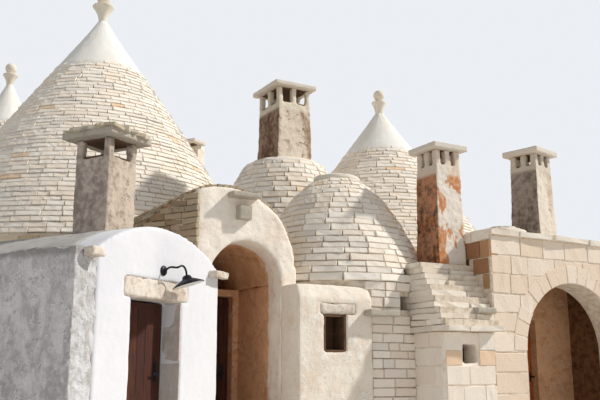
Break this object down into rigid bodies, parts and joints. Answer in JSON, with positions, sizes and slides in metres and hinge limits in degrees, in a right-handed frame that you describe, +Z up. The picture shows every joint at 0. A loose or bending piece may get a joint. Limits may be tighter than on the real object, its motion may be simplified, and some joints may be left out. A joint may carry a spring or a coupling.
{
  "type": "trullo house",
  "caption": "Dry-stone trullo house with corbelled cones, domed rooms, a vaulted porch, a whitewashed vaulted wing, a low stepped annex and an arched loggia.",
  "frame": {"origin": "on the level ground, on the vertical axis of the main round room", "axes": "+X to the right along the loggia building's front, +Y away from the viewer to the back, +Z up"},
  "size_m": [12.5657, 17.2315, 9.52],
  "materials": {
    "limestone": "weathered limestone masonry",
    "roof_stone": "dry-laid limestone slabs with grey lichen",
    "lime_plaster": "worn lime plaster and whitewash",
    "rough_stone": "grey weathered rubble masonry",
    "black_iron": "black painted iron",
    "dark_wood": "dark stained planks",
    "brown_wood": "varnished orange-brown wood",
    "glass": "clear pane"
  },
  "bodies": {
    "house": {"main_drum": "limestone", "main_cone": "roof_stone", "far_drum": "limestone", "far_cone": "roof_stone", "rear_drum": "limestone", "rear_cone": "roof_stone", "trullo_caps": "lime_plaster", "finials": "lime_plaster", "kitchen_drum": "limestone", "kitchen_dome": "roof_stone", "centre_drum": "limestone", "centre_dome": "roof_stone", "room_links": "limestone", "porch_front": "lime_plaster", "porch_left_wall": "limestone", "porch_right_wall": "limestone", "porch_back_wall": "limestone", "porch_vault": "lime_plaster", "niche_buttress": "lime_plaster", "wing_left_wall": "rough_stone", "wing_right_wall": "lime_plaster", "wing_back_wall": "lime_plaster", "wing_front_left": "lime_plaster", "wing_front_right": "lime_plaster", "wing_gable": "lime_plaster", "stone_lintels": "limestone", "wing_vault": "rough_stone", "spout_stones": "limestone", "loggia_front": "limestone", "loggia_arch_ring": "limestone", "loggia_side_walls": "limestone", "loggia_inner_wall": "limestone", "loggia_back_wall": "limestone", "loggia_roof": "roof_stone", "loggia_coping": "limestone", "annex_walls": "lime_plaster", "annex_stepped_roof": "limestone", "kitchen_chimney": "lime_plaster", "oven_chimney": "lime_plaster", "loggia_chimney": "lime_plaster", "wing_chimney": "lime_plaster", "rear_chimney": "lime_plaster", "chimney_slabs": "limestone", "roof_mound": "roof_stone", "floors": "limestone", "door_pivots": "black_iron", "wall_lamp": "black_iron"},
    "wing_door": {"wing_door": "dark_wood"},
    "porch_door": {"porch_door": "dark_wood"},
    "glazed_door": {"glazed_door": "brown_wood", "door_glass": "glass"}
  },
  "joints": [
    {"name": "wing_door_hinge", "type": "hinge", "parent": "house", "child": "wing_door", "pos_m": [-1.9196, -8.063, 0.1], "axis": [0, 0, 1], "range_deg": [0, 90]},
    {"name": "porch_door_hinge", "type": "hinge", "parent": "house", "child": "porch_door", "pos_m": [-0.256, -5.6575, 0.1], "axis": [0, 0, 1], "range_deg": [0, 90]},
    {"name": "glazed_door_hinge", "type": "hinge", "parent": "house", "child": "glazed_door", "pos_m": [4.854, -6.8575, 0.1], "axis": [0, 0, 1], "range_deg": [0, 90]}
  ]
}
